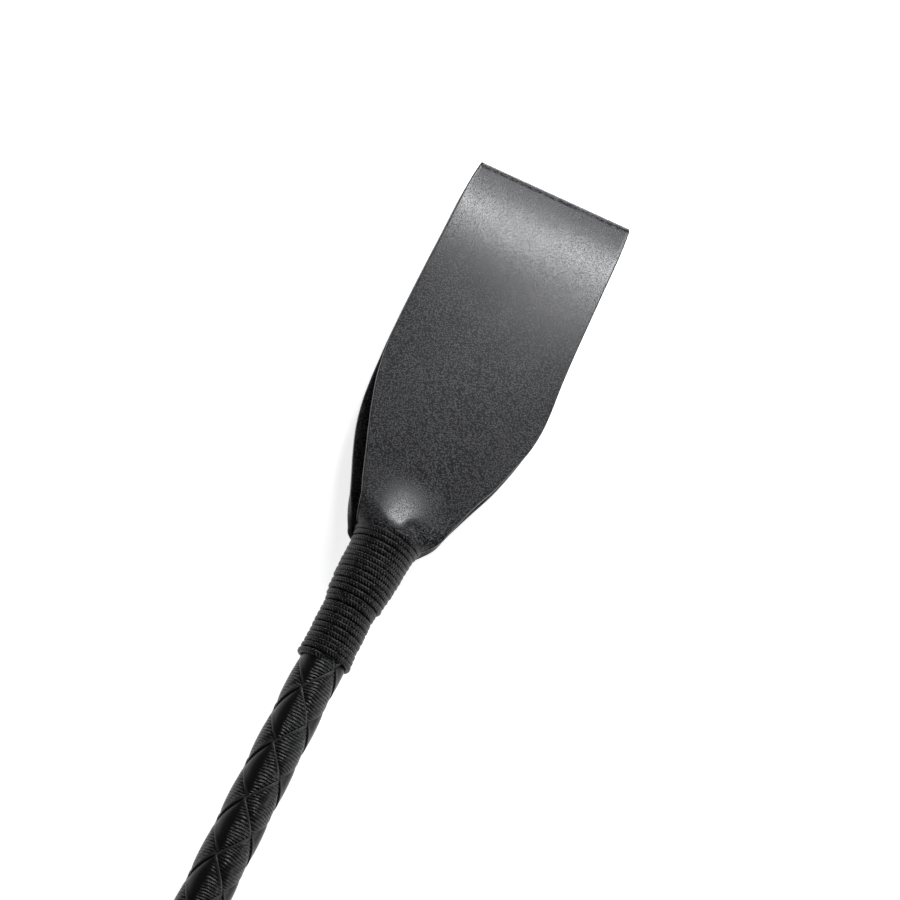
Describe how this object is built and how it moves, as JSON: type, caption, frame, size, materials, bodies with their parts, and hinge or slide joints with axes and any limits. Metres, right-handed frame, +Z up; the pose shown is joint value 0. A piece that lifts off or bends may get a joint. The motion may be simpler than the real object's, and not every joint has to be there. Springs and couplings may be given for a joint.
{
  "type": "riding crop",
  "caption": "Riding crop: plaited shaft over a stiff core, folded leather tongue bound on with cord, leather handle, drilled butt cap and wrist strap.",
  "frame": {"origin": "centre of the butt cap's flat end face", "axes": "+X along the crop from the butt face to the fold of the tongue, +Z up; the crop lies on its side with the tongue's leaves facing up and down"},
  "size_m": [0.6748, 0.0736, 0.025],
  "materials": {
    "fibreglass": "satin, seen only from the inside of the tongue",
    "tongue_leather": "smooth black synthetic leather, fine pebble grain, satin",
    "braided_cord": "tight black braid, slight sheen",
    "lace_leather": "flat black laces, finely ribbed across, satin",
    "foam": "closed-cell foam, matt",
    "grip_leather": "black leather with a fine grain, satin",
    "cap_plastic": "moulded black, matt",
    "steel_pin": "plain steel",
    "eyelet_metal": "dark nickel plate",
    "strap_leather": "black strap leather, dyed edges, satin"
  },
  "bodies": {
    "shaft": {"core_rod": "fibreglass", "plait_lace_1": "lace_leather", "plait_lace_2": "lace_leather", "plait_lace_3": "lace_leather", "plait_lace_4": "lace_leather", "plait_lace_5": "lace_leather", "plait_lace_6": "lace_leather", "tongue_whipping": "braided_cord", "grip_whipping": "braided_cord", "grip_sleeve": "foam", "grip_leather": "grip_leather", "butt_cap": "cap_plastic", "cap_pin": "steel_pin", "eyelet_left": "eyelet_metal", "eyelet_right": "eyelet_metal"},
    "tongue_flap": {"tongue": "tongue_leather"},
    "wrist_loop": {"wrist_strap": "strap_leather", "strap_rivet": "eyelet_metal"}
  },
  "joints": [
    {"name": "tongue_flex", "type": "hinge", "parent": "shaft", "child": "tongue_flap", "pos_m": [0.42804, 0, 0], "axis": [0, 1, 0], "range_deg": [-40, 40], "stiffness_Nm_per_rad": 0.4, "deforming": ["tongue"]},
    {"name": "strap_swing", "type": "hinge", "parent": "shaft", "child": "wrist_loop", "pos_m": [0.014, 0, 0], "axis": [0, 1, 0], "range_deg": [-135, 135]}
  ]
}
